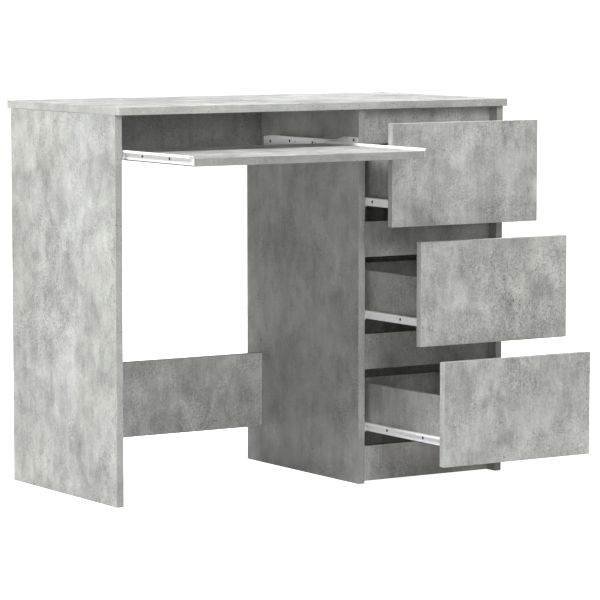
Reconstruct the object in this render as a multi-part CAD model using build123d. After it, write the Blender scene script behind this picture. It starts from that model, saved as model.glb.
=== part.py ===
from build123d import *
import os

# A writing desk: three upright panels under one desktop, a knee space with a pull-out keyboard tray on
# the left, and a pedestal with three drawers on the right. Millimetres. X runs along the desktop, Y from
# the front to the rear and Z up. The desk stands with its tray and drawers drawn part way out, and the
# origin is the middle of the box that it fills then, at floor level.

# Overall size
desk_width = 900.0
desk_depth = 450.0
desk_height = 760.0
board = 15.0                    # thickness of the desktop, panels, rails, tray and drawer fronts
eased = 0.8                     # radius on the edges of every board

# Carcass
panel_inset = 15.0              # the panels stop this far inside the desktop's front and rear edges
pedestal_width = 350.0
rail_setback = 25.0             # front rails behind the panels' front edges
rail_height = 71.0
plinth_gap = 1.0                # floor to the lowest rail
back_setback = 45.0             # knee space backs in front of the panels' rear edges
upper_back_height = 100.0
stretcher_bottom = 76.0
stretcher_height = 153.0

# Drawers
drawer_front_height = 202.0
front_overlap = 2.0             # a drawer front laps this far below the top edge of the rail under it
shut_gap = 0.5                  # shut drawer front to the panels' front edges
side_thickness = 12.0
side_height = 95.0
side_rise = 35.0                # underside of the drawer sides above the bottom of the drawer front
side_length = 380.0
bottom_thickness = 3.0
bottom_rise = 10.0              # drawer bottom above the underside of the sides
groove_depth = 4.0
groove_play = 0.2
drawer_open = {1: 101.5, 2: 200.5, 3: 279.5}

# Keyboard tray
tray_depth = 355.0
tray_bottom = 659.0
tray_shut_setback = 17.0        # shut tray behind the desktop's front edge
tray_open = 247.0

# Roller runners, a channel on the carcass and a runner on what slides
side_gap = 12.5                 # carcass wall to the tray or drawer side
sheet = 1.2
runner_length = 350.0
runner_height = 17.2
lip_reach = 9.0                 # runner's flange, from the sliding side towards the wall
lip_drop = 4.0                  # turned-down edge of that flange
flange_end = 326.0              # the flange stops here and leaves room for the rear roller
outer_bend = 1.6                # outside radius of the bends
inner_bend = 0.4                # inside radius of the bends, and of the sheet's rims
taper_length = 9.0              # the runner's flange narrows to a point over this length at its front end
taper_depth = 6.0
channel_setback = 17.0          # channel's front end behind the desktop's front edge
channel_height = 21.0
channel_foot = -0.2
channel_reach = 10.3            # channel flanges, from the wall
hump_height = 28.2
hump_flange_start = 20.0        # the top flange starts here, behind the front roller's pin
closing_drop = 4.0              # the channel falls this much at the rear, so that a drawer shuts by itself
tray_runner_rise = 2.3          # runner above the underside of the tray
drawer_runner_rise = 34.5       # runner above the bottom of the drawer front

# Rollers and their pins
roller_radius = 9.0
front_roller_inset = 13.0       # roller centre from the channel's front end
front_roller_rise = 6.8         # roller centre above the runner's lower edge
rear_roller_inset = 338.0       # roller centre from the runner's front end
rear_roller_rise = 10.2
roller_inner_side = 10.7        # side of both rollers next to the drawer, measured from the wall
front_roller_width = 5.4
rear_roller_width = 6.0
pin_radius = 2.45
bore_radius = 2.5
pin_head_radius = 4.0
pin_head_length = 0.8
ring_outer = 7.4                # shallow ring moulded in both sides of a roller
ring_inner = 5.2

# Fixings
channel_holes = [(7.0, 22.5), (154.0, 11.3), (230.0, 11.3), (261.5, 11.3), (341.5, 7.5)]
channel_screws = [(15.5, 22.5), (165.5, 11.3), (251.0, 11.3), (324.5, 8.0)]
drawer_screws = [94.0, 218.0, 300.0]      # from the runner's front end
tray_screws = [88.0, 188.0, 300.0]
runner_hole_rise = 8.5
screw_head_radius = 2.9
screw_radius = 1.5
screw_length = 12.0
corner_screw_length = 30.0
dowel_radius = 4.0
dowel_length = 28.0
cam_distance = 24.0             # cam centre from the end of the board that holds it
cam_cover = 3.0                 # board left under a cam's blind bore
cam_cross_bore = 3.6            # radius of the bore across a cam, which takes the bolt's head
cam_slot_width = 1.2
bolt_thread_radius = 2.4
bolt_thread_length = 10.0
bolt_stem_radius = 2.9
bolt_neck_radius = 2.0
bolt_neck_length = 3.0
bolt_head_length = 3.0
face_share = 9.0                # length of a dowel that stands in the face of a board
end_play = 0.5                  # free length at each end of a dowel's bore
thin_dowel_radius = 3.0         # in the 12 mm drawer sides
recess_length = 2.6             # cross recess of a screw head
recess_width = 0.6
recess_depth = 0.7
punched_radius = 2.1            # free holes in the channels
desktop_cams = (75.0, 345.0)    # depths of the cams and dowels between the desktop and the panels
desktop_dowels = (110.0, 300.0)
drill_play = 0.1

# Places worked out from the sizes above. Depths are measured from the desktop's front edge.
under_desktop = desk_height - board
front_reach = drawer_open[3] + shut_gap
desk_front = (front_reach - desk_depth) / 2
panel_front = desk_front + panel_inset
panel_rear = desk_front + desk_depth - panel_inset
left_inner = -desk_width / 2 + board
right_inner = desk_width / 2 - board
middle_left = desk_width / 2 - pedestal_width
middle_right = middle_left + board
back_front = panel_rear - back_setback - board
rail_front = panel_front + rail_setback
rail_pitch = (under_desktop - rail_height - plinth_gap) / 3
bay_centre = (left_inner + middle_left) / 2
bay_half = (middle_left - left_inner) / 2
pedestal_centre = (middle_right + right_inner) / 2
pedestal_half = (right_inner - middle_right) / 2
tray_half = bay_half - side_gap
box_half = pedestal_half - side_gap
channel_front = desk_front + channel_setback


def rail_bottom(level):
    """Underside of a front rail: 0 is the plinth rail and 3 the one under the desktop."""
    return plinth_gap + level * rail_pitch


def drawer_bottom(number):
    """Bottom edge of a drawer front. Drawer 1 is the top one."""
    return rail_bottom(3 - number) + rail_height - front_overlap


def slab(x, y, z):
    """A board between pairs of planes, with every edge eased."""
    shape = Box(x[1] - x[0], y[1] - y[0], z[1] - z[0], align=(Align.MIN,) * 3)
    return Pos(x[0], y[0], z[0]) * fillet(shape.edges(), eased)


def block(x, y, z):
    """A plain cutting or sheet-metal block between pairs of planes."""
    shape = Box(x[1] - x[0], y[1] - y[0], z[1] - z[0], align=(Align.MIN,) * 3)
    return Pos(x[0], y[0], z[0]) * shape


def rod(start, direction, radius, length):
    """A round bar or bore from a point along a direction."""
    bar = Cylinder(radius, length, align=(Align.CENTER, Align.CENTER, Align.MIN))
    return Plane(origin=start, z_dir=direction) * bar


def save(name, shape):
    """Write one sub-part, as one solid or as a group of separate solids."""
    if isinstance(shape, list):
        shape = Compound(children=[solid for piece in shape for solid in piece.solids()])
    export_step(shape, f"parts/{name}.step")


# ---------------------------------------------------------------------------------------------------
# Fixings that hold the boards together. A joint is a point in the middle of the contact between the end
# of one board and the face of another, the direction into the first board, and the side its cam is on.
# ---------------------------------------------------------------------------------------------------

def cam_lock(point, inward, side, thickness):
    """Zinc cam that clamps the head of a bolt: a drum with a bore across it and a driver slot."""
    radius = thickness / 2 - drill_play
    depth = thickness - cam_cover
    centre = Vector(point) + Vector(inward) * cam_distance
    foot = centre + Vector(side) * (thickness / 2 - depth)
    drum = rod(foot, side, radius, depth - drill_play)
    across = rod(centre - Vector(inward) * radius, inward, cam_cross_bore, radius + bolt_head_length)
    plane = Plane(origin=foot + Vector(side) * (depth - drill_play), z_dir=side)
    slot_length = radius * 1.3
    slots = [plane * Box(slot_length, cam_slot_width, cam_cover),
             plane * Box(cam_slot_width, slot_length, cam_cover)]
    return drum - across - slots[0] - slots[1]


def cam_bolt(point, inward):
    """Steel bolt screwed into the face of one board, its head held by the cam in the other."""
    start = Vector(point)
    along = Vector(inward)
    head_start = cam_distance - 2.0
    stem_length = head_start - bolt_neck_length
    thread = rod(start, along * -1, bolt_thread_radius, bolt_thread_length)
    stem = rod(start, along, bolt_stem_radius, stem_length)
    neck = rod(start + along * stem_length, along, bolt_neck_radius, bolt_neck_length)
    head = rod(start + along * head_start, along, bolt_stem_radius, bolt_head_length)
    return thread + stem + neck + head


def cam_bores(point, inward, side, thickness):
    """The bores for one cam and its bolt, in both boards."""
    depth = thickness - cam_cover
    centre = Vector(point) + Vector(inward) * cam_distance
    drum = rod(centre + Vector(side) * (thickness / 2 - depth), side, thickness / 2, depth + 1.0)
    stem = rod(point, inward, bolt_stem_radius + 2 * drill_play, cam_distance)
    thread = rod(point, Vector(inward) * -1, bolt_thread_radius + drill_play, bolt_thread_length + end_play)
    return [drum, stem, thread]


def dowel(point, inward, radius):
    """Beech dowel with chamfered ends, one third in the face and two thirds in the end of a board."""
    pin = rod(Vector(point) - Vector(inward) * face_share, inward, radius, dowel_length)
    return chamfer(pin.edges().filter_by(GeomType.CIRCLE), 1.0)


def dowel_bore(point, inward, radius):
    """One bore through the contact, a little longer and wider than its dowel."""
    start = Vector(point) - Vector(inward) * (face_share + end_play)
    return rod(start, inward, radius + drill_play, dowel_length + 2 * end_play)


def screw(point, inward, length):
    """Countersunk screw with its head flush at the point, a cross recess and a plain shank."""
    head = Cone(screw_head_radius, screw_radius, sheet, align=(Align.CENTER, Align.CENTER, Align.MIN))
    plane = Plane(origin=point, z_dir=inward)
    body = plane * head + rod(point, inward, screw_radius, length)
    for size in ((recess_length, recess_width), (recess_width, recess_length)):
        body -= plane * Box(*size, 2 * recess_depth)
    return body


def screw_bore(point, inward, length):
    """The countersunk pilot hole for one screw."""
    top = screw_head_radius + drill_play
    foot = screw_radius + drill_play
    sink = Cone(top, foot, sheet, align=(Align.CENTER, Align.CENTER, Align.MIN))
    plane = Plane(origin=point, z_dir=inward)
    return plane * sink + rod(point, inward, foot, length + end_play)


def end_joints(x_ends, y, cams, dowels, side):
    """Cam and dowel joints at both ends of a board that runs along X between two panels."""
    joints = []
    pegs = []
    for x, inward in ((x_ends[0], (1, 0, 0)), (x_ends[1], (-1, 0, 0))):
        joints += [((x, y, z), inward, side) for z in cams]
        pegs += [((x, y, z), inward) for z in dowels]
    return joints, pegs


def carcass_joints():
    """Every cam joint and every dowel of the carcass."""
    cams = []
    dowels = []
    down = (0, 0, -1)
    for x, side in ((left_inner - board / 2, 1), (middle_left + board / 2, 1), (right_inner + board / 2, -1)):
        for depth in desktop_cams:
            cams.append(((x, desk_front + depth, under_desktop), down, (side, 0, 0)))
        for depth in desktop_dowels:
            dowels.append(((x, desk_front + depth, under_desktop), down))
    rear = (0, 1, 0)
    bay = (left_inner, middle_left)
    pedestal = (middle_right, right_inner)
    runs = [(pedestal, rail_front + board / 2, [rail_bottom(n) + 22.0], [rail_bottom(n) + 50.0])
            for n in range(4)]
    upper = under_desktop - upper_back_height
    runs.append((bay, back_front + board / 2, [upper + 25.0], [upper + 75.0]))
    lower = stretcher_bottom
    runs.append((bay, back_front + board / 2, [lower + 30.0, lower + 123.0], [lower + 76.0]))
    runs.append((pedestal, panel_rear - board / 2, [120.0, 620.0], [60.0, 370.0]))
    for ends, y, cam_heights, dowel_heights in runs:
        found = end_joints(ends, y, cam_heights, dowel_heights, rear)
        cams += found[0]
        dowels += found[1]
    return cams, dowels


# ---------------------------------------------------------------------------------------------------
# Roller runners. Both profiles are drawn beside a wall at X = 0 with the room to the right of it: X is
# the distance from the wall, Y from the profile's front end and Z from the runner's lower edge.
# ---------------------------------------------------------------------------------------------------

def beside_wall(shape, wall, side, y, z):
    """Put a profile against a wall. Side 1 is a wall on the right of its room, -1 on the left."""
    if side > 0:
        shape = mirror(shape, Plane.YZ)
    return Pos(wall, y, z) * shape


def strip(x_start, x_end, outline):
    """Sheet metal of a given outline in the YZ plane, between two distances from the wall."""
    points = [(x_start, y, z) for y, z in outline]
    face = make_face(Polyline(*points, close=True))
    return extrude(face, amount=x_end - x_start, dir=(1, 0, 0))


def ease(shape, corners, radius):
    """Round the lengthwise edges that run through the given corners, each an X and a Z."""
    picked = [edge for edge in shape.edges().filter_by(Axis.Y)
              for x, z in corners if abs(edge.center().X - x) < 0.01 and abs(edge.center().Z - z) < 0.01]
    return fillet(picked, radius)


def channel():
    """Carcass channel: a web with a raised front, a top and a bottom flange, and a drop at the rear."""
    rear_top = channel_height - closing_drop
    hump = [(37.0, hump_height), (46.0, hump_height - 2.0), (71.0, channel_height)]
    tail = [(288.0, channel_height), (328.0, channel_height - 1.4), (runner_length, rear_top)]
    nose = [(0.0, channel_foot), (0.0, hump_height - 4.0), (1.5, hump_height - 1.5), (5.0, hump_height)]
    foot = [(285.0, channel_foot), (315.0, channel_foot - closing_drop),
            (runner_length, channel_foot - closing_drop)]
    web = strip(0, sheet, nose + hump + tail + list(reversed(foot)))
    upper = [(hump_flange_start, hump_height)] + hump + tail[:1]
    top = strip(sheet, channel_reach, upper + [(y, z - sheet) for y, z in reversed(upper)])
    lower = [(25.0, channel_foot)] + foot
    bottom = strip(sheet, channel_reach, lower + [(y, z + sheet) for y, z in reversed(lower)])
    shape = web + top + bottom
    shape = ease(shape, [(channel_reach, channel_height), (channel_reach, channel_foot)], inner_bend)
    shape = ease(shape, [(sheet, channel_height - sheet), (sheet, channel_foot + sheet)], inner_bend)
    for y, z in channel_holes:
        shape -= rod((-1, y, z), (1, 0, 0), punched_radius, sheet + 2)
    for y, z in channel_screws:
        shape -= screw_bore((sheet, y, z), (-1, 0, 0), screw_length)
    hole = rod((-1, front_roller_inset, front_roller_rise), (1, 0, 0), bore_radius, sheet + 2)
    return shape - hole


def runner(screws):
    """Runner of a drawer or the tray: a web and a flange with a turned-down edge, pointed at the front."""
    face = side_gap - sheet
    lip = side_gap - lip_reach
    top = runner_height
    shape = block((face, side_gap), (0, runner_length), (0, top))
    shape += block((lip, side_gap), (0, flange_end), (top - sheet, top))
    shape += block((lip, lip + sheet), (0, flange_end), (top - lip_drop, top))
    shape = ease(shape, [(lip, top), (side_gap, top)], outer_bend)
    shape = ease(shape, [(lip + sheet, top - sheet), (face, top - sheet)], inner_bend)
    shape = ease(shape, [(lip, top - lip_drop), (face, 0)], inner_bend)
    corner = [(lip - 1, -1), (lip + taper_depth, -1), (lip + taper_depth, 0), (lip, taper_length),
              (lip - 1, taper_length)]
    point = make_face(Polyline(*[(x, y, 0) for x, y in corner], close=True))
    shape -= extrude(point, amount=top + 1, dir=(0, 0, 1))
    for y in screws:
        shape -= screw_bore((face, y, runner_hole_rise), (1, 0, 0), screw_length)
    shape -= rod((0, taper_length + 3.0, top - 2.4), (1, 0, 0), 1.0, lip + sheet)
    return shape - rod((face - 1, rear_roller_inset, rear_roller_rise), (1, 0, 0), bore_radius, sheet + 2)


def channel_screw_set():
    """The four screws that hold one channel."""
    return [screw((sheet, y, z), (-1, 0, 0), screw_length) for y, z in channel_screws]


def channel_screw_bores():
    """Pilot holes for those screws in the panel behind the channel."""
    return [screw_bore((sheet, y, z), (-1, 0, 0), screw_length) for y, z in channel_screws]


def runner_screw_set(screws):
    """The screws that hold one runner."""
    return [screw((side_gap - sheet, y, runner_hole_rise), (1, 0, 0), screw_length) for y in screws]


def runner_screw_bores(screws):
    """Pilot holes for those screws in the side behind the runner."""
    return [screw_bore((side_gap - sheet, y, runner_hole_rise), (1, 0, 0), screw_length) for y in screws]


def front_pin():
    """Riveted pin on the channel: tail in the web, shoulder, journal and a head inside the roller."""
    outer = roller_inner_side - front_roller_width
    y = front_roller_inset
    z = front_roller_rise
    shape = rod((drill_play, y, z), (1, 0, 0), pin_radius, roller_inner_side - 2 * drill_play)
    shape += rod((sheet, y, z), (1, 0, 0), pin_head_radius, outer - 2 * drill_play - sheet)
    head = roller_inner_side - pin_head_length - drill_play
    return shape + rod((head, y, z), (1, 0, 0), pin_head_radius, pin_head_length)


def rear_pin():
    """Riveted pin on the runner: tail in the web, thin shoulder, journal and head."""
    outer = roller_inner_side - rear_roller_width
    y = rear_roller_inset
    z = rear_roller_rise
    start = outer + drill_play
    shoulder = roller_inner_side + 2 * drill_play
    shape = rod((start, y, z), (1, 0, 0), pin_radius, side_gap - drill_play - start)
    shape += rod((shoulder, y, z), (1, 0, 0), pin_head_radius, side_gap - sheet - shoulder)
    return shape + rod((start, y, z), (1, 0, 0), pin_head_radius, pin_head_length)


def roller(x_start, width, y, z, head_at_start):
    """Nylon roller: rounded rim, a shallow ring on both sides, a bore and a pocket for the pin's head."""
    wheel = Cylinder(roller_radius, width, align=(Align.CENTER, Align.CENTER, Align.MIN))
    wheel = fillet(wheel.edges(), 0.6)
    ring = Cylinder(ring_outer, 0.5) - Cylinder(ring_inner, 0.5)
    wheel = wheel - Pos(0, 0, 0.25) * ring - Pos(0, 0, width - 0.25) * ring
    wheel -= Pos(0, 0, width / 2) * Cylinder(bore_radius, width + 2)
    pocket = 0.5 if head_at_start else width - 0.5
    wheel -= Pos(0, 0, pocket) * Cylinder(pin_head_radius + 0.3, 1.0)
    return Pos(x_start, y, z) * (Rot(0, 90, 0) * wheel)


def front_roller():
    """Roller on the channel, under the runner's flange."""
    x = roller_inner_side - front_roller_width
    return roller(x, front_roller_width, front_roller_inset, front_roller_rise, False)


def rear_roller():
    """Roller on the runner, inside the channel."""
    x = roller_inner_side - rear_roller_width
    return roller(x, rear_roller_width, rear_roller_inset, rear_roller_rise, True)


# ---------------------------------------------------------------------------------------------------
# Where each runner set sits: its two walls, its height, and the front end of what slides on it.
# ---------------------------------------------------------------------------------------------------

def runner_sets():
    """Name, left wall, right wall, height of the runner's lower edge and Y of the runner's front end."""
    tray_front = desk_front + tray_shut_setback - tray_open
    sets = [("tray", left_inner, middle_left, tray_bottom + tray_runner_rise, tray_front)]
    for number in (1, 2, 3):
        runner_front = drawer_face(number) + board
        height = drawer_bottom(number) + drawer_runner_rise
        sets.append((f"drawer_{number}", middle_right, right_inner, height, runner_front))
    return sets


def drawer_face(number):
    """Y of the outer face of a drawer front as the drawer stands open."""
    return desk_front - shut_gap - drawer_open[number]


def both_sides(shape_or_list, left, right, y, z):
    """The same profile or fixing against the left and the right wall."""
    shapes = shape_or_list if isinstance(shape_or_list, list) else [shape_or_list]
    placed = [beside_wall(shape, left, -1, y, z) for shape in shapes]
    return placed + [beside_wall(shape, right, 1, y, z) for shape in shapes]


# ---------------------------------------------------------------------------------------------------
# Carcass boards
# ---------------------------------------------------------------------------------------------------

def drilled(shape, tools):
    """Cut a board with the bores that reach it."""
    box = shape.bounding_box()
    near = [tool for tool in tools if touches(box, tool.bounding_box())]
    return shape.cut(*near) if near else shape


def touches(one, other):
    """Whether two boxes overlap."""
    return all(getattr(one.min, a) < getattr(other.max, a) and getattr(other.min, a) < getattr(one.max, a)
               for a in "XYZ")


def carcass_boards():
    """Every board of the carcass before drilling, by name."""
    half = desk_width / 2
    panel_y = (panel_front, panel_rear)
    back_y = (back_front, back_front + board)
    rail_y = (rail_front, rail_front + board)
    bay = (left_inner, middle_left)
    pedestal = (middle_right, right_inner)
    boards = {
        "desktop": slab((-half, half), (desk_front, desk_front + desk_depth), (under_desktop, desk_height)),
        "left_side_panel": slab((-half, left_inner), panel_y, (0, under_desktop)),
        "middle_panel": slab((middle_left, middle_right), panel_y, (0, under_desktop)),
        "right_side_panel": slab((right_inner, half), panel_y, (0, under_desktop)),
        "upper_back_panel": slab(bay, back_y, (under_desktop - upper_back_height, under_desktop)),
        "lower_back_stretcher": slab(bay, back_y, (stretcher_bottom, stretcher_bottom + stretcher_height)),
        "pedestal_back_panel": slab(pedestal, (panel_rear - board, panel_rear), (plinth_gap, under_desktop)),
    }
    for level, name in enumerate(("plinth_rail", "lower_mid_rail", "upper_mid_rail", "top_front_rail")):
        low = rail_bottom(level)
        boards[name] = slab(pedestal, rail_y, (low, low + rail_height))
    return boards


def build_carcass():
    """Write the boards, the fixings between them, the channels and what holds the channels."""
    cams, dowels = carcass_joints()
    tools = [bore for joint in cams for bore in cam_bores(*joint, board)]
    tools += [dowel_bore(point, inward, dowel_radius) for point, inward in dowels]
    screws = []
    pins = []
    for name, left, right, height, _ in runner_sets():
        place = (left, right, channel_front, height)
        tools += both_sides(channel_screw_bores(), *place)
        screws += both_sides(channel_screw_set(), *place)
        pins += both_sides(front_pin(), *place)
        left_channel, right_channel = both_sides(channel(), *place)
        save(f"{name}_channel_left", left_channel)
        save(f"{name}_channel_right", right_channel)
        save(f"{name}_front_rollers", both_sides(front_roller(), *place))
    for name, shape in carcass_boards().items():
        save(name, drilled(shape, tools))
    save("cam_locks", [cam_lock(*joint, board) for joint in cams])
    save("cam_bolts", [cam_bolt(point, inward) for point, inward, _ in cams])
    save("wooden_dowels", [dowel(point, inward, dowel_radius) for point, inward in dowels])
    save("channel_screws", screws)
    save("front_roller_pins", pins)


# ---------------------------------------------------------------------------------------------------
# Keyboard tray
# ---------------------------------------------------------------------------------------------------

def build_tray():
    """Write the tray board with its two runners, its rear rollers and its fixings."""
    name, left, right, height, front = runner_sets()[0]
    place = (left, right, front, height)
    bores = both_sides(runner_screw_bores(tray_screws), *place)
    top = slab((bay_centre - tray_half, bay_centre + tray_half), (front, front + tray_depth),
               (tray_bottom, tray_bottom + board))
    save("keyboard_tray", drilled(top, bores))
    left_runner, right_runner = both_sides(runner(tray_screws), *place)
    save("tray_runner_left", left_runner)
    save("tray_runner_right", right_runner)
    save("tray_rear_rollers", both_sides(rear_roller(), *place))
    fixings = both_sides(runner_screw_set(tray_screws), *place) + both_sides(rear_pin(), *place)
    save("tray_fixings", fixings)


# ---------------------------------------------------------------------------------------------------
# Drawers
# ---------------------------------------------------------------------------------------------------

def drawer_boards(face, low):
    """Front, sides, back and bottom of one drawer before drilling."""
    inner = box_half - side_thickness
    y_start = face + board
    y_end = y_start + side_length
    side_z = (low + side_rise, low + side_rise + side_height)
    bottom_z = side_z[0] + bottom_rise
    half = pedestal_width / 2
    centre = pedestal_centre
    reach = groove_depth - groove_play
    boards = {
        "front": slab((centre - half, centre + half), (face, y_start), (low, low + drawer_front_height)),
        "left_side": slab((centre - box_half, centre - inner), (y_start, y_end), side_z),
        "right_side": slab((centre + inner, centre + box_half), (y_start, y_end), side_z),
        "back": slab((centre - inner, centre + inner), (y_end - side_thickness, y_end), side_z),
    }
    groove = block((centre - inner - groove_depth, centre + inner + groove_depth),
                   (y_start - groove_depth, y_end - side_thickness + groove_depth),
                   (bottom_z, bottom_z + bottom_thickness + groove_play))
    for name in boards:
        boards[name] = boards[name] - groove
    boards["bottom"] = block((centre - inner - reach, centre + inner + reach),
                             (y_start - reach, y_end - side_thickness + reach),
                             (bottom_z, bottom_z + bottom_thickness))
    return boards


def build_drawer(number):
    """Write the boards, runners, rear rollers and fixings of one drawer."""
    name, left, right, height, front = runner_sets()[number]
    place = (left, right, front, height)
    face = drawer_face(number)
    low = drawer_bottom(number)
    corner = box_half - side_thickness / 2
    cams = []
    pegs = []
    corner_screws = []
    rear = front + side_length - side_thickness / 2
    for side in (-1, 1):
        x = pedestal_centre + side * corner
        cams.append(((x, front, low + side_rise + 70.0), (0, 1, 0), (-side, 0, 0)))
        pegs.append(((x, front, low + side_rise + 30.0), (0, 1, 0)))
        for rise in (32.0, 72.0):
            point = (pedestal_centre + side * box_half, rear, low + side_rise + rise)
            corner_screws.append((point, (-side, 0, 0), corner_screw_length))
    tools = [bore for joint in cams for bore in cam_bores(*joint, side_thickness)]
    tools += [dowel_bore(point, inward, thin_dowel_radius) for point, inward in pegs]
    tools += [screw_bore(*place_and_length) for place_and_length in corner_screws]
    tools += both_sides(runner_screw_bores(drawer_screws), *place)
    for part, shape in drawer_boards(face, low).items():
        save(f"{name}_{part}", drilled(shape, tools))
    left_runner, right_runner = both_sides(runner(drawer_screws), *place)
    save(f"{name}_runner_left", left_runner)
    save(f"{name}_runner_right", right_runner)
    save(f"{name}_rear_rollers", both_sides(rear_roller(), *place))
    fixings = [cam_lock(*joint, side_thickness) for joint in cams]
    fixings += [cam_bolt(point, inward) for point, inward, _ in cams]
    fixings += [dowel(point, inward, thin_dowel_radius) for point, inward in pegs]
    fixings += [screw(*place_and_length) for place_and_length in corner_screws]
    fixings += both_sides(runner_screw_set(drawer_screws), *place) + both_sides(rear_pin(), *place)
    save(f"{name}_fixings", fixings)


os.makedirs("parts", exist_ok=True)
build_carcass()
build_tray()
for drawer in (1, 2, 3):
    build_drawer(drawer)
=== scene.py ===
import math
import bpy
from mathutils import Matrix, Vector


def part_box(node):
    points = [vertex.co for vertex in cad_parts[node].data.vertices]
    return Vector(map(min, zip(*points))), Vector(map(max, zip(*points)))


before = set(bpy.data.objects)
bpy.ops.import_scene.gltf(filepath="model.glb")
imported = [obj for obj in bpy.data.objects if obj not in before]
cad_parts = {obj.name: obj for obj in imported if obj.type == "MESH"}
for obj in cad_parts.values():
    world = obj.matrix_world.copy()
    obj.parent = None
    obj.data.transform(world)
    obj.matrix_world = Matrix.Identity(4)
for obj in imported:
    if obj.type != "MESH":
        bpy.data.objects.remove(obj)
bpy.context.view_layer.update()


# The desktop. A 15 mm chipboard top faced on both sides with melamine paper that is printed like cast
# concrete, its four edges closed with matching edging. It lies on the three upright panels, held by cam
# bolts and dowels from below, and its print runs along its length.

def plug(tree, node, sockets):
    """Set a node's inputs, each to a value or to a link from another node."""
    for name, value in dict(sockets).items():
        if isinstance(value, bpy.types.NodeSocket):
            tree.links.new(value, node.inputs[name])
        else:
            node.inputs[name].default_value = value


def add(tree, kind, sockets=(), **settings):
    """Place one node, with its settings and its inputs."""
    node = tree.nodes.new("ShaderNode" + kind)
    for name, value in settings.items():
        setattr(node, name, value)
    plug(tree, node, sockets)
    return node


def sum_up(tree, operation, first, second=0.0, third=0.0):
    """One step of arithmetic between values."""
    return add(tree, "Math", {0: first, 1: second, 2: third}, operation=operation).outputs[0]


def sum_up_places(tree, operation, first, second, third=(0.0, 0.0, 0.0)):
    """One step of arithmetic between places."""
    return add(tree, "VectorMath", {0: first, 1: second, 2: third}, operation=operation).outputs[0]


def stretch(tree, place, factors):
    """The same place with each axis scaled."""
    return sum_up_places(tree, "MULTIPLY", place, factors)


def centred(tree, value):
    """A noise less its middle value, so that adding it neither lightens nor darkens."""
    return sum_up(tree, "SUBTRACT", value, 0.5)


def rise(tree, value, low, high, to_low=0.0, to_high=1.0):
    """A smooth step from one level to another as a value goes from low to high."""
    return add(tree, "MapRange", {0: value, 1: low, 2: high, 3: to_low, 4: to_high},
               interpolation_type="SMOOTHSTEP").outputs[0]


def mix_colours(tree, share, first, second):
    """The first colour where the share is 0, and the second where it is 1."""
    return add(tree, "Mix", {0: share, 6: first, 7: second}, data_type="RGBA").outputs[2]


def mix_values(tree, share, first, second):
    """The first value where the share is 0, and the second where it is 1."""
    return add(tree, "Mix", {0: share, 2: first, 3: second}, data_type="FLOAT").outputs[0]


def grain(tree, place, scale, detail, roughness, distortion=0.0):
    """Fractal noise, with its scale in features per metre."""
    return add(tree, "TexNoise", {"Vector": place, "Scale": scale, "Detail": detail,
                                  "Roughness": roughness, "Distortion": distortion}).outputs["Fac"]


def jitter(tree, place, scale, detail):
    """Noise with three separate channels, for pushing a place about."""
    return add(tree, "TexNoise", {"Vector": place, "Scale": scale, "Detail": detail}).outputs["Color"]


def new_group(name, inputs, outputs):
    """An empty shader node group with named inputs and outputs."""
    group = bpy.data.node_groups.new(name, "ShaderNodeTree")
    for title, kind, value in inputs:
        socket = group.interface.new_socket(title, in_out="INPUT", socket_type="NodeSocket" + kind)
        socket.default_value = value
    for title, kind in outputs:
        group.interface.new_socket(title, in_out="OUTPUT", socket_type="NodeSocket" + kind)
    return group, group.nodes.new("NodeGroupInput").outputs, group.nodes.new("NodeGroupOutput").inputs


def use_group(tree, group, sockets):
    """Place a group in a material, with its inputs, and hand back its outputs."""
    node = tree.nodes.new("ShaderNodeGroup")
    node.node_tree = group
    plug(tree, node, sockets)
    return node.outputs


def start_material(name):
    """A new material, its nodes, its shader, and the place on the piece in metres."""
    material = bpy.data.materials.new(name)
    material.use_nodes = True
    tree = material.node_tree
    place = add(tree, "TexCoord").outputs["Object"]
    return material, tree, tree.nodes["Principled BSDF"], place


def add_bump(tree, shader, height, strength, distance):
    """Fine relief on the shader, with its distance in metres."""
    bump = add(tree, "Bump", {"Height": height, "Strength": strength, "Distance": distance})
    tree.links.new(bump.outputs[0], shader.inputs["Normal"])


def dress(node, material):
    """Give all of a node one material."""
    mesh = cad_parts[node].data
    mesh.materials.clear()
    mesh.materials.append(material)


def add_pores(tree, place, clusters_place):
    """Two kinds of round pores, small and large, where the cast trapped air. They gather in clusters."""
    kinds = ({"per_metre": 210.0, "widest": 0.32, "clusters": 9.0, "sparse": 0.48, "dense": 0.60},
             {"per_metre": 74.0, "widest": 0.072, "clusters": 6.0, "sparse": 0.42, "dense": 0.56})
    pores = None
    for kind in kinds:
        cells = add(tree, "TexVoronoi", {"Vector": place, "Scale": kind["per_metre"], "Randomness": 1.0})
        pick = add(tree, "SeparateColor", {0: cells.outputs["Color"]}).outputs[0]
        wide = sum_up(tree, "MULTIPLY", sum_up(tree, "POWER", pick, 3.0), kind["widest"])
        inner = sum_up(tree, "SUBTRACT", cells.outputs["Distance"], wide)
        dot = rise(tree, inner, -0.04, 0.03, 1.0, 0.0)
        dot = sum_up(tree, "MULTIPLY", dot, rise(tree, pick, 0.3, 0.5))
        crowd = grain(tree, clusters_place, kind["clusters"], 2.0, 0.5)
        dot = sum_up(tree, "MULTIPLY", dot, rise(tree, crowd, kind["sparse"], kind["dense"]))
        pores = dot if pores is None else sum_up(tree, "MAXIMUM", pores, dot)
    return pores


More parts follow.
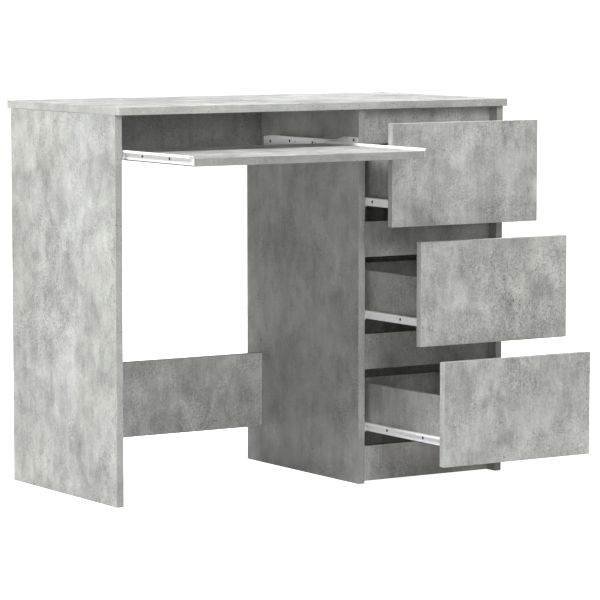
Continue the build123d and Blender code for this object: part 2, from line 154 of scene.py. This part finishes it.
def make_concrete_print():
    """Printed concrete: clouds, streaks, sand, wrinkles, hairlines and pores. Y is along the streaks."""
    wrinkle_depth = 0.17
    hairline_lift = 0.22
    smudge_depth = 0.14
    pore_depth = 0.6
    blotch_weight = 0.13
    sand_weight = 2.1
    red_share = 0.989
    inputs = [("Place", "Vector", (0.0, 0.0, 0.0)), ("Tone", "Float", 0.5), ("Contrast", "Float", 1.0)]
    outputs = [("Colour", "Color"), ("Roughness", "Float"), ("Height", "Float")]
    tree, given, made = new_group("concrete print", inputs, outputs)
    place = given["Place"]

    swirl = sum_up_places(tree, "SUBTRACT", jitter(tree, place, 14.0, 4.0), (0.5, 0.5, 0.5))
    long_place = stretch(tree, place, (1.0, 0.75, 1.0))
    warped = sum_up_places(tree, "MULTIPLY_ADD", swirl, (0.045, 0.045, 0.045), long_place)
    clouds = grain(tree, warped, 6.0, 3.0, 0.5)
    puffs = grain(tree, warped, 24.0, 9.0, 0.68, 0.2)
    blotches = rise(tree, grain(tree, warped, 15.0, 8.0, 0.66), 0.46, 0.60)
    sand = grain(tree, stretch(tree, place, (1.0, 0.85, 1.0)), 330.0, 4.0, 0.72)
    strand = grain(tree, stretch(tree, place, (1.0, 0.08, 1.0)), 420.0, 3.0, 0.6)
    band = grain(tree, stretch(tree, place, (1.0, 0.12, 1.0)), 70.0, 2.0, 0.5)
    tone = sum_up(tree, "MULTIPLY", centred(tree, blotches), blotch_weight)
    for value, weight in ((clouds, 0.8), (puffs, 1.1), (strand, 0.46), (band, 0.30)):
        tone = sum_up(tree, "MULTIPLY_ADD", centred(tree, value), weight, tone)

    sandy = rise(tree, grain(tree, place, 10.0, 3.0, 0.55), 0.44, 0.64, 0.4, 1.0)
    speck = sum_up(tree, "MULTIPLY", centred(tree, sand), sum_up(tree, "MULTIPLY", sandy, sand_weight))
    tone = sum_up(tree, "ADD", tone, speck)

    fold = sum_up(tree, "ABSOLUTE", centred(tree, grain(tree, warped, 48.0, 5.0, 0.6, 1.0)))
    wrinkled = rise(tree, grain(tree, place, 12.0, 3.0, 0.6), 0.5, 0.62)
    wrinkle = sum_up(tree, "MULTIPLY", rise(tree, fold, 0.0, 0.022, 1.0, 0.0), wrinkled)
    tone = sum_up(tree, "SUBTRACT", tone, sum_up(tree, "MULTIPLY", wrinkle, wrinkle_depth))

    drift = grain(tree, stretch(tree, place, (1.0, 0.3, 1.0)), 7.0, 2.0, 0.45, 1.2)
    crack = sum_up(tree, "ABSOLUTE", centred(tree, drift))
    cracked = rise(tree, grain(tree, place, 5.0, 1.0, 0.5), 0.52, 0.62)
    hairline = sum_up(tree, "MULTIPLY", rise(tree, crack, 0.0, 0.0042, 1.0, 0.0), cracked)
    tone = sum_up(tree, "ADD", tone, sum_up(tree, "MULTIPLY", hairline, hairline_lift))

    smudge = rise(tree, grain(tree, warped, 34.0, 4.0, 0.6, 0.5), 0.60, 0.74)
    tone = sum_up(tree, "SUBTRACT", tone, sum_up(tree, "MULTIPLY", smudge, smudge_depth))

    tremor = jitter(tree, place, 420.0, 2.0)
    ragged = sum_up_places(tree, "MULTIPLY_ADD", tremor, (0.0020, 0.0028, 0.0020), place)
    pores = add_pores(tree, stretch(tree, ragged, (1.0, 0.8, 1.0)), place)

    level = sum_up(tree, "MULTIPLY_ADD", tone, given["Contrast"], 1.0)
    level = sum_up(tree, "MULTIPLY", level, sum_up(tree, "MULTIPLY_ADD", pores, -pore_depth, 1.0))
    level = sum_up(tree, "MULTIPLY", level, given["Tone"])
    blue_share = rise(tree, grain(tree, warped, 5.0, 2.0, 0.5), 0.40, 0.62, 0.935, 0.965)
    shade = add(tree, "CombineColor", {0: sum_up(tree, "MULTIPLY", level, red_share), 1: level,
                                       2: sum_up(tree, "MULTIPLY", level, blue_share)})
    rough = sum_up(tree, "MULTIPLY_ADD", centred(tree, puffs), 0.25, 0.47)
    relief = sum_up(tree, "MULTIPLY_ADD", sand, 0.25, sum_up(tree, "MULTIPLY", strand, 0.2))
    tree.links.new(shade.outputs[0], made["Colour"])
    tree.links.new(sum_up(tree, "MULTIPLY_ADD", pores, 0.2, rough), made["Roughness"])
    tree.links.new(sum_up(tree, "MULTIPLY_ADD", pores, -1.0, relief), made["Height"])
    return tree


def make_edge_distance():
    """Distance from a place to the nearest of three pairs of planes."""
    inputs = [("Place", "Vector", (0.0, 0.0, 0.0)), ("Low", "Vector", (0.0, 0.0, 0.0)),
              ("High", "Vector", (0.0, 0.0, 0.0))]
    tree, given, made = new_group("edge distance", inputs, [("Distance", "Float")])
    above = sum_up_places(tree, "SUBTRACT", given["Place"], given["Low"])
    below = sum_up_places(tree, "SUBTRACT", given["High"], given["Place"])
    axes = add(tree, "SeparateXYZ", {0: sum_up_places(tree, "MINIMUM", above, below)}).outputs
    least = sum_up(tree, "MINIMUM", sum_up(tree, "MINIMUM", axes[0], axes[1]), axes[2])
    tree.links.new(least, made["Distance"])
    return tree


def make_chipboard():
    """Raw chipboard, as it shows in a bore or a groove: tan flakes pressed flat in darker dust."""
    inputs = [("Place", "Vector", (0.0, 0.0, 0.0))]
    outputs = [("Colour", "Color"), ("Height", "Float")]
    tree, given, made = new_group("chipboard", inputs, outputs)
    flat_place = stretch(tree, given["Place"], (1.0, 1.0, 2.5))
    flakes = add(tree, "TexVoronoi", {"Vector": flat_place, "Scale": 420.0})
    pick = add(tree, "SeparateColor", {0: flakes.outputs["Color"]}).outputs[0]
    dust = grain(tree, given["Place"], 900.0, 3.0, 0.6)
    level = sum_up(tree, "MULTIPLY_ADD", pick, 0.5, sum_up(tree, "MULTIPLY", dust, 0.5))
    tan = mix_colours(tree, level, (0.26, 0.15, 0.075, 1.0), (0.62, 0.44, 0.26, 1.0))
    tree.links.new(tan, made["Colour"])
    tree.links.new(level, made["Height"])
    return tree


concrete_print = make_concrete_print()
edge_distance = make_edge_distance()
chipboard = make_chipboard()
edging = 0.0008         # thickness of the strip glued to a board's edges
strip_shift = 1.7       # how far off the face's print the strip's is taken
strip_contrast = 0.6
glue = (0.12, 0.11, 0.10, 1.0)
paper = 0.0003          # anything this far under a board's face is bare chipboard
bare_roughness = 0.85
out_of_reach = 9.0      # far beyond every board


def laminate(node, thin, along, shift, tone=0.34, contrast=1.0, edge_tone=0.305):
    """Cover one board. Thin is the axis through the board, and along is the axis of the print's streaks."""
    low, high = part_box(node)
    material, tree, shader, place = start_material(node + "_laminate")

    turn = {0: (0.0, 0.0, math.pi / 2), 1: (0.0, 0.0, 0.0), 2: (math.pi / 2, 0.0, 0.0)}[along]
    face_place = add(tree, "Mapping", {"Vector": place, "Rotation": turn, "Location": shift}).outputs[0]
    printed = use_group(tree, concrete_print, {"Place": face_place, "Tone": tone, "Contrast": contrast})
    moved = tuple(part + strip_shift for part in shift)
    strip_place = add(tree, "Mapping", {"Vector": place, "Rotation": turn, "Location": moved}).outputs[0]
    strip = use_group(tree, concrete_print, {"Place": strip_place, "Tone": edge_tone,
                                             "Contrast": strip_contrast})
    bare = use_group(tree, chipboard, {"Place": place})

    rim_low = Vector(low)
    rim_high = Vector(high)
    rim_low[thin] = -out_of_reach
    rim_high[thin] = out_of_reach
    to_rim = use_group(tree, edge_distance, {"Place": place, "Low": rim_low, "High": rim_high})["Distance"]
    to_face = use_group(tree, edge_distance, {"Place": place, "Low": low, "High": high})["Distance"]
    on_strip = rise(tree, to_rim, edging * 0.95, edging * 1.05, 1.0, 0.0)
    to_glue = sum_up(tree, "ABSOLUTE", sum_up(tree, "SUBTRACT", to_rim, edging))
    glue_line = rise(tree, to_glue, 0.00003, 0.00012, 0.3, 0.0)
    inside = rise(tree, to_face, paper, paper * 1.5)

    colour = mix_colours(tree, on_strip, printed["Colour"], strip["Colour"])
    colour = mix_colours(tree, glue_line, colour, glue)
    colour = mix_colours(tree, inside, colour, bare["Colour"])
    tree.links.new(colour, shader.inputs["Base Color"])
    rough = mix_values(tree, inside, printed["Roughness"], bare_roughness)
    tree.links.new(rough, shader.inputs["Roughness"])
    height = mix_values(tree, inside, printed["Height"], bare["Height"])
    add_bump(tree, shader, height, 0.35, 0.0002)
    shader.inputs["Specular IOR Level"].default_value = 0.35
    dress(node, material)


laminate("desktop", thin=2, along=0, shift=(0.31, 2.13, 0.7), tone=0.385, contrast=1.3, edge_tone=0.36)


# The three upright panels. The same faced chipboard, standing on the floor on their lower edges. The two
# outer ones carry the ends of the desktop, and the middle one closes the pedestal's left side.

panel_finish = {"left_side_panel": {"tone": 0.34, "contrast": 1.0},
                "middle_panel": {"tone": 0.335, "contrast": 0.85},
                "right_side_panel": {"tone": 0.34, "contrast": 1.0}}
for number, (panel, tone_and_contrast) in enumerate(panel_finish.items()):
    shift = (0.9 + 1.3 * number, 0.37 + 0.61 * number, 1.1 * number)
    laminate(panel, thin=0, along=2, shift=shift, **tone_and_contrast)


# The boards between the panels. An upper back panel and a stretcher stiffen the knee space, a tall back
# closes the pedestal, and four narrow rails tie its front together behind the drawers.

# The upper back panel and the stretcher get lower tones, and the upper back a lower contrast, as painted
# shade under the desktop. The plinth rail gets a higher tone as painted light against the bottom drawer's
# shadow.
board_tones_painted_light_and_shade = {"upper_back_panel": {"tone": 0.205, "contrast": 0.8},
                "lower_back_stretcher": {"tone": 0.285},
                "pedestal_back_panel": {"tone": 0.33},
                "plinth_rail": {"tone": 0.43},
                "lower_mid_rail": {"tone": 0.33},
                "upper_mid_rail": {"tone": 0.32},
                "top_front_rail": {"tone": 0.37}}
for number, (board, tone_and_contrast) in enumerate(board_tones_painted_light_and_shade.items()):
    shift = (3.3 + 0.83 * number, 1.9 + 0.47 * number, 2.0 + number)
    laminate(board, thin=1, along=2, shift=shift, **tone_and_contrast)


# The keyboard tray. A loose shelf of the same board, edged all round, which hangs on roller runners
# between the left and the middle panel, with its print along its length.

laminate("keyboard_tray", thin=2, along=0, shift=(5.2, 3.4, 0.35), tone=0.31, contrast=1.3, edge_tone=0.26)


# The drawer boxes. Each has a full front of 15 mm board and sides and a back of 12 mm board in the same
# finish, with the front held by cams and the back by screws.

inside_tone = 0.29
for number in (1, 2, 3):
    drawer = f"drawer_{number}"
    shift = (7.1 + number * 0.77, 4.4 + number * 0.59, number)
    laminate(drawer + "_front", thin=1, along=2, shift=shift, edge_tone=0.33)
    # The left sides' tone is lowest in the top drawer and rises in each drawer below: painted shade of the
    # tray over the upper drawers.
    shift = (9.3 + number * 0.31, 5.0, number * 1.9)
    laminate(drawer + "_left_side", thin=0, along=2, shift=shift, tone=0.23 + 0.025 * number)
    shift = (10.6 + number * 0.43, 5.7, number * 2.1)
    laminate(drawer + "_right_side", thin=0, along=2, shift=shift, tone=inside_tone)
    shift = (11.4 + number * 0.53, 6.1, number * 1.3)
    laminate(drawer + "_back", thin=1, along=2, shift=shift, tone=inside_tone)


# The drawer bottoms. Hardboard 3 mm thick, printed grey on top and left brown underneath, pushed into the
# grooves of the sides, the front and the back.

def hardboard(node, shift):
    """Printed hardboard: smooth grey above, brown wire-pressed fibre below."""
    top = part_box(node)[1][2]
    material, tree, shader, place = start_material(node + "_hardboard")
    moved = add(tree, "Mapping", {"Vector": place, "Location": shift}).outputs[0]
    fibre = grain(tree, stretch(tree, moved, (1.0, 0.3, 1.0)), 260.0, 5.0, 0.65)
    brown = mix_colours(tree, fibre, (0.10, 0.055, 0.028, 1.0), (0.30, 0.19, 0.11, 1.0))
    printed = use_group(tree, concrete_print, {"Place": moved, "Tone": 0.32, "Contrast": 0.7})
    height = add(tree, "SeparateXYZ", {0: place}).outputs[2]
    on_top = rise(tree, height, top - 0.0004, top - 0.0002)
    colour = mix_colours(tree, on_top, brown, printed["Colour"])
    tree.links.new(colour, shader.inputs["Base Color"])
    tree.links.new(rise(tree, fibre, 0.2, 0.8, 0.5, 0.72), shader.inputs["Roughness"])
    wires = {"Vector": place, "Scale": 160.0}
    wires_x = add(tree, "TexWave", wires, bands_direction="X").outputs["Fac"]
    wires_y = add(tree, "TexWave", wires, bands_direction="Y").outputs["Fac"]
    underneath = sum_up(tree, "SUBTRACT", 1.0, on_top)
    mesh_marks = sum_up(tree, "MULTIPLY", sum_up(tree, "MULTIPLY", wires_x, wires_y), underneath)
    add_bump(tree, shader, sum_up(tree, "MULTIPLY_ADD", fibre, 0.4, mesh_marks), 0.5, 0.0002)
    dress(node, material)


for number in (1, 2, 3):
    hardboard(f"drawer_{number}_bottom", (13.0 + number, 2.0 * number, 0.0))


# The runners and channels. Strip steel 1.2 mm thick, rolled to shape, punched, and powder coated white,
# with a channel screwed to each wall and a runner to each sliding side.

def powder_coat():
    """White powder coat: fine orange peel, a little dust, worn spots where it rubs, thin on the cut ends."""
    white = (0.90, 0.905, 0.90, 1.0)
    dusty = (0.62, 0.61, 0.58, 1.0)
    worn = (0.42, 0.42, 0.42, 1.0)
    thin = (0.30, 0.30, 0.29, 1.0)
    material, tree, shader, place = start_material("white_powder_coat")
    dust = rise(tree, grain(tree, place, 60.0, 5.0, 0.65), 0.52, 0.78)
    scuff = grain(tree, stretch(tree, place, (1.0, 0.04, 1.0)), 900.0, 2.0, 0.5)
    scuffed = sum_up(tree, "MULTIPLY", rise(tree, scuff, 0.62, 0.75), dust)
    facing = add(tree, "SeparateXYZ", {0: add(tree, "NewGeometry").outputs["Normal"]}).outputs[1]
    cut_end = rise(tree, sum_up(tree, "ABSOLUTE", facing), 0.90, 0.98, 0.0, 0.75)
    colour = mix_colours(tree, sum_up(tree, "MULTIPLY", dust, 0.25), white, dusty)
    colour = mix_colours(tree, sum_up(tree, "MULTIPLY", scuffed, 0.5), colour, worn)
    colour = mix_colours(tree, cut_end, colour, thin)
    tree.links.new(colour, shader.inputs["Base Color"])
    tree.links.new(rise(tree, dust, 0.0, 1.0, 0.30, 0.52), shader.inputs["Roughness"])
    add_bump(tree, shader, grain(tree, place, 1100.0, 2.0, 0.5), 0.2, 0.00008)
    return material


coat = powder_coat()
sliding = ("tray", "drawer_1", "drawer_2", "drawer_3")
for name in sliding:
    for side in ("left", "right"):
        dress(f"{name}_channel_{side}", coat)
        dress(f"{name}_runner_{side}", coat)


# The rollers. Moulded white nylon on riveted pins, two at the front of each pair of channels and two at
# the rear of each pair of runners.

def nylon():
    """Moulded nylon: off-white, slightly waxy, greyed where it has rolled."""
    material, tree, shader, place = start_material("white_nylon")
    mottle = grain(tree, place, 240.0, 4.0, 0.6)
    greyed = rise(tree, mottle, 0.35, 0.75)
    colour = mix_colours(tree, greyed, (0.80, 0.80, 0.76, 1.0), (0.66, 0.66, 0.63, 1.0))
    tree.links.new(colour, shader.inputs["Base Color"])
    tree.links.new(rise(tree, mottle, 0.3, 0.8, 0.34, 0.5), shader.inputs["Roughness"])
    add_bump(tree, shader, grain(tree, place, 1600.0, 2.0, 0.5), 0.15, 0.00005)
    return material


roller_nylon = nylon()
for name in sliding:
    dress(name + "_front_rollers", roller_nylon)
    dress(name + "_rear_rollers", roller_nylon)


# The metal fixings. Die-cast cams, turned bolts, corner screws and roller pins in bright zinc, and the
# blackened cross-recess screws that hold the channels to the walls and the runners to the sliding boards.

def zinc():
    """Zinc plate: crystalline mottle, dull in patches."""
    material, tree, shader, place = start_material("zinc_plate")
    crystals = add(tree, "TexVoronoi", {"Vector": place, "Scale": 900.0})
    pick = add(tree, "SeparateColor", {0: crystals.outputs["Color"]}).outputs[1]
    colour = mix_colours(tree, pick, (0.50, 0.51, 0.52, 1.0), (0.70, 0.70, 0.69, 1.0))
    dull = grain(tree, place, 300.0, 4.0, 0.6)
    tree.links.new(colour, shader.inputs["Base Color"])
    tree.links.new(rise(tree, dull, 0.3, 0.75, 0.26, 0.5), shader.inputs["Roughness"])
    add_bump(tree, shader, dull, 0.2, 0.00005)
    shader.inputs["Metallic"].default_value = 1.0
    return material


def black_phosphate():
    """Blackened steel: near black and dry, with a faint brown bloom."""
    material, tree, shader, place = start_material("black_phosphate")
    bloom = grain(tree, place, 700.0, 4.0, 0.65)
    bloomed = rise(tree, bloom, 0.4, 0.75)
    colour = mix_colours(tree, bloomed, (0.022, 0.022, 0.024, 1.0), (0.075, 0.066, 0.058, 1.0))
    tree.links.new(colour, shader.inputs["Base Color"])
    tree.links.new(rise(tree, bloom, 0.3, 0.8, 0.42, 0.65), shader.inputs["Roughness"])
    add_bump(tree, shader, bloom, 0.25, 0.00005)
    shader.inputs["Metallic"].default_value = 0.6
    return material


def dress_part(node, material, chosen):
    """Give one more material to the faces of a node whose middle is chosen."""
    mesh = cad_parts[node].data
    mesh.materials.append(material)
    for face in mesh.polygons:
        if chosen(face.center):
            face.material_index = len(mesh.materials) - 1


def runner_screw_faces(name):
    """A test for the screws through a pair of runners: beside the webs, and clear of the rollers' pins."""
    left_low, left_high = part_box(name + "_runner_left")
    right_low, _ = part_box(name + "_runner_right")
    pin_low, pin_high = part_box(name + "_rear_rollers")
    pin_y = (pin_low[1] + pin_high[1]) / 2
    pin_reach = 0.006
    web = 0.0013
    screw_length = 0.013
    screw_top = left_low[2] + 0.75 * (left_high[2] - left_low[2])

    def chosen(centre):
        """Whether a place is on one of those screws."""
        at_left = left_high[0] - web < centre[0] < left_high[0] + screw_length
        at_right = right_low[0] - screw_length < centre[0] < right_low[0] + web
        in_row = left_low[2] < centre[2] < screw_top
        return in_row and (at_left or at_right) and abs(centre[1] - pin_y) > pin_reach

    return chosen


plate = zinc()
black = black_phosphate()
for name in ("cam_locks", "cam_bolts", "front_roller_pins"):
    dress(name, plate)
dress("channel_screws", black)
for name in sliding:
    dress(name + "_fixings", plate)
    dress_part(name + "_fixings", black, runner_screw_faces(name))


# The dowels. Turned beech pins, glued half way into the boards' ends. They line two boards up while the
# cams draw them together.

def beech():
    """Raw beech: pale pinkish tan with fine pores along the grain."""
    material, tree, shader, place = start_material("raw_beech")
    rings = grain(tree, place, 500.0, 4.0, 0.6)
    colour = mix_colours(tree, rings, (0.42, 0.27, 0.15, 1.0), (0.70, 0.52, 0.34, 1.0))
    tree.links.new(colour, shader.inputs["Base Color"])
    tree.links.new(rise(tree, rings, 0.2, 0.8, 0.6, 0.75), shader.inputs["Roughness"])
    add_bump(tree, shader, rings, 0.3, 0.0001)
    return material


def dowel_faces(drawer):
    """A test for a drawer's two dowels, which stand a third of the way up in its sides' front ends."""
    sides = [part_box(f"{drawer}_{side}_side") for side in ("left", "right")]
    lowest = 0.27       # as a share of the side's height
    highest = 0.36
    reach = 0.05        # back from the side's front end

    def chosen(centre):
        """Whether a place is on one of those dowels."""
        for low, high in sides:
            height = (centre[2] - low[2]) / (high[2] - low[2])
            if low[0] < centre[0] < high[0] and lowest < height < highest and centre[1] < low[1] + reach:
                return True
        return False

    return chosen


dowel_beech = beech()
dress("wooden_dowels", dowel_beech)
for number in (1, 2, 3):
    dress_part(f"drawer_{number}_fixings", dowel_beech, dowel_faces(f"drawer_{number}"))


# The studio. A pale floor in a white room, with a large soft key light from the upper left, a fill from
# the front, a small low light that reaches into the openings, and a light over the back right corner.

def show_white(tree, output, lit, seen):
    """Show the camera one surface or sky, and light the scene by another."""
    ray = add(tree, "LightPath").outputs["Is Camera Ray"]
    blend = add(tree, "MixShader", {0: ray, 1: lit.outputs[0], 2: seen.outputs[0]})
    tree.links.new(blend.outputs[0], tree.nodes[output].inputs["Surface"])


white = (1.0, 1.0, 1.0, 1.0)
reach = 300.0
floor_corners = [(-reach, -reach, 0), (reach, -reach, 0), (reach, reach, 0), (-reach, reach, 0)]
floor_mesh = bpy.data.meshes.new("floor")
floor_mesh.from_pydata(floor_corners, [], [(0, 1, 2, 3)])
floor = bpy.data.objects.new("floor", floor_mesh)
bpy.context.scene.collection.objects.link(floor)
floor_paint = bpy.data.materials.new("floor_paint")
floor_paint.use_nodes = True
tree = floor_paint.node_tree
seen = tree.nodes["Principled BSDF"]
plug(tree, seen, {"Base Color": (0.9, 0.9, 0.9, 1.0), "Roughness": 0.9,
                  "Emission Color": white, "Emission Strength": 1.0})
lit = add(tree, "BsdfPrincipled", {"Base Color": (0.36, 0.36, 0.36, 1.0), "Roughness": 0.9,
                                   "Emission Color": white, "Emission Strength": 0.15})
show_white(tree, "Material Output", lit, seen)
floor.data.materials.append(floor_paint)

world = bpy.data.worlds.new("studio")
world.use_nodes = True
bpy.context.scene.world = world
tree = world.node_tree
room = tree.nodes["Background"]
plug(tree, room, {"Color": (0.95, 0.97, 1.0, 1.0), "Strength": 0.17})
backdrop = add(tree, "Background", {"Color": white, "Strength": 1.0})
show_white(tree, "World Output", room, backdrop)

desk_middle = Vector((0.0, 0.0, 0.45))
lights = {
    "key_light": {"toward": (-0.60, -0.06, 0.80), "distance": 12.0, "across": 5.0, "watts": 2600.0},
    "front_light": {"toward": (-0.10, -0.90, 0.42), "distance": 10.0, "across": 5.0, "watts": 580.0},
    "low_light": {"toward": (-0.536, -0.840, 0.084), "distance": 10.0, "across": 1.5, "watts": 190.0},
    "back_light": {"toward": (0.60, 0.50, 0.62), "distance": 4.0, "across": 2.0, "watts": 50.0},
}
for name, given in lights.items():
    lamp = bpy.data.lights.new(name, "AREA")
    lamp.shape = "DISK"
    lamp.size = given["across"]
    lamp.energy = given["watts"]
    light = bpy.data.objects.new(name, lamp)
    direction = Vector(given["toward"]).normalized()
    light.location = desk_middle + direction * given["distance"]
    light.rotation_euler = direction.to_track_quat("Z", "Y").to_euler()
    bpy.context.scene.collection.objects.link(light)

bpy.context.scene.view_settings.view_transform = "Standard"

lens = bpy.data.cameras.new("camera")
lens.lens = 196.69
lens.sensor_width = 36.0
lens.clip_end = 1000.0
camera = bpy.data.objects.new("camera", lens)
camera.location = (-3.4745, -5.4407, 0.9942)
camera.rotation_euler = (math.radians(84.4565), 0.0, math.radians(-32.616))
bpy.context.scene.collection.objects.link(camera)
bpy.context.scene.camera = camera
